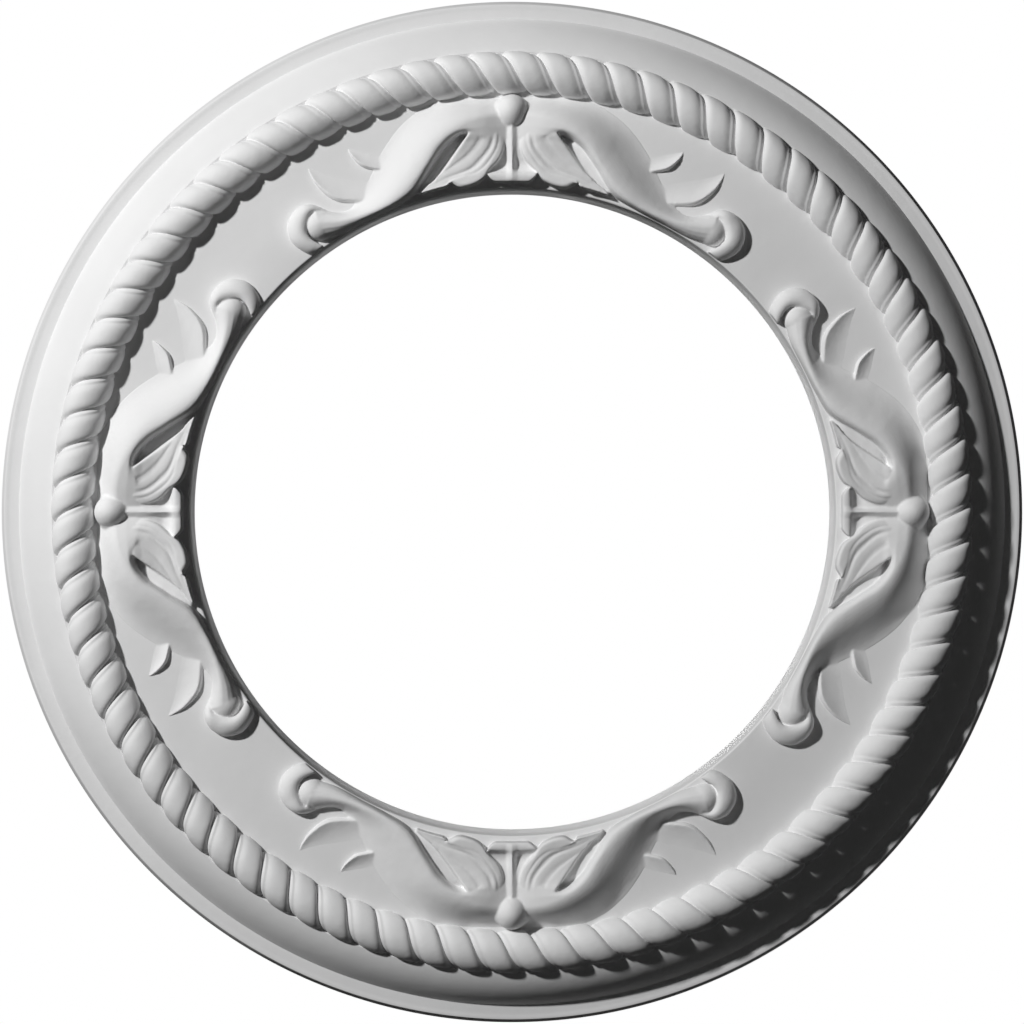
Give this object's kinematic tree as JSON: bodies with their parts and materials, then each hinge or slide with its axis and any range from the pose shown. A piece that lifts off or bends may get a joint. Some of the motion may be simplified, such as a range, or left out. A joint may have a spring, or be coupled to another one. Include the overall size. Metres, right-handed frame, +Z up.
{
  "type": "ceiling rose",
  "caption": "Wide flat ring for a ceiling, open in the middle, with a plain quarter-round rim, a twisted rope moulding and groups of acanthus scrolls on a flat field.",
  "frame": {"origin": "the middle of the round flat back, in the plane that lies against the ceiling", "axes": "+Z up into the ceiling, so the carved face looks down along -Z; +X and +Y lie in the back plane and each passes the middle of one leaf group"},
  "size_m": [0.5078, 0.5078, 0.0358],
  "materials": {
    "white_paint": "flat white primer paint on moulded foam"
  },
  "bodies": {
    "root": {"ceiling_rose": "white_paint"}
  },
  "joints": []
}
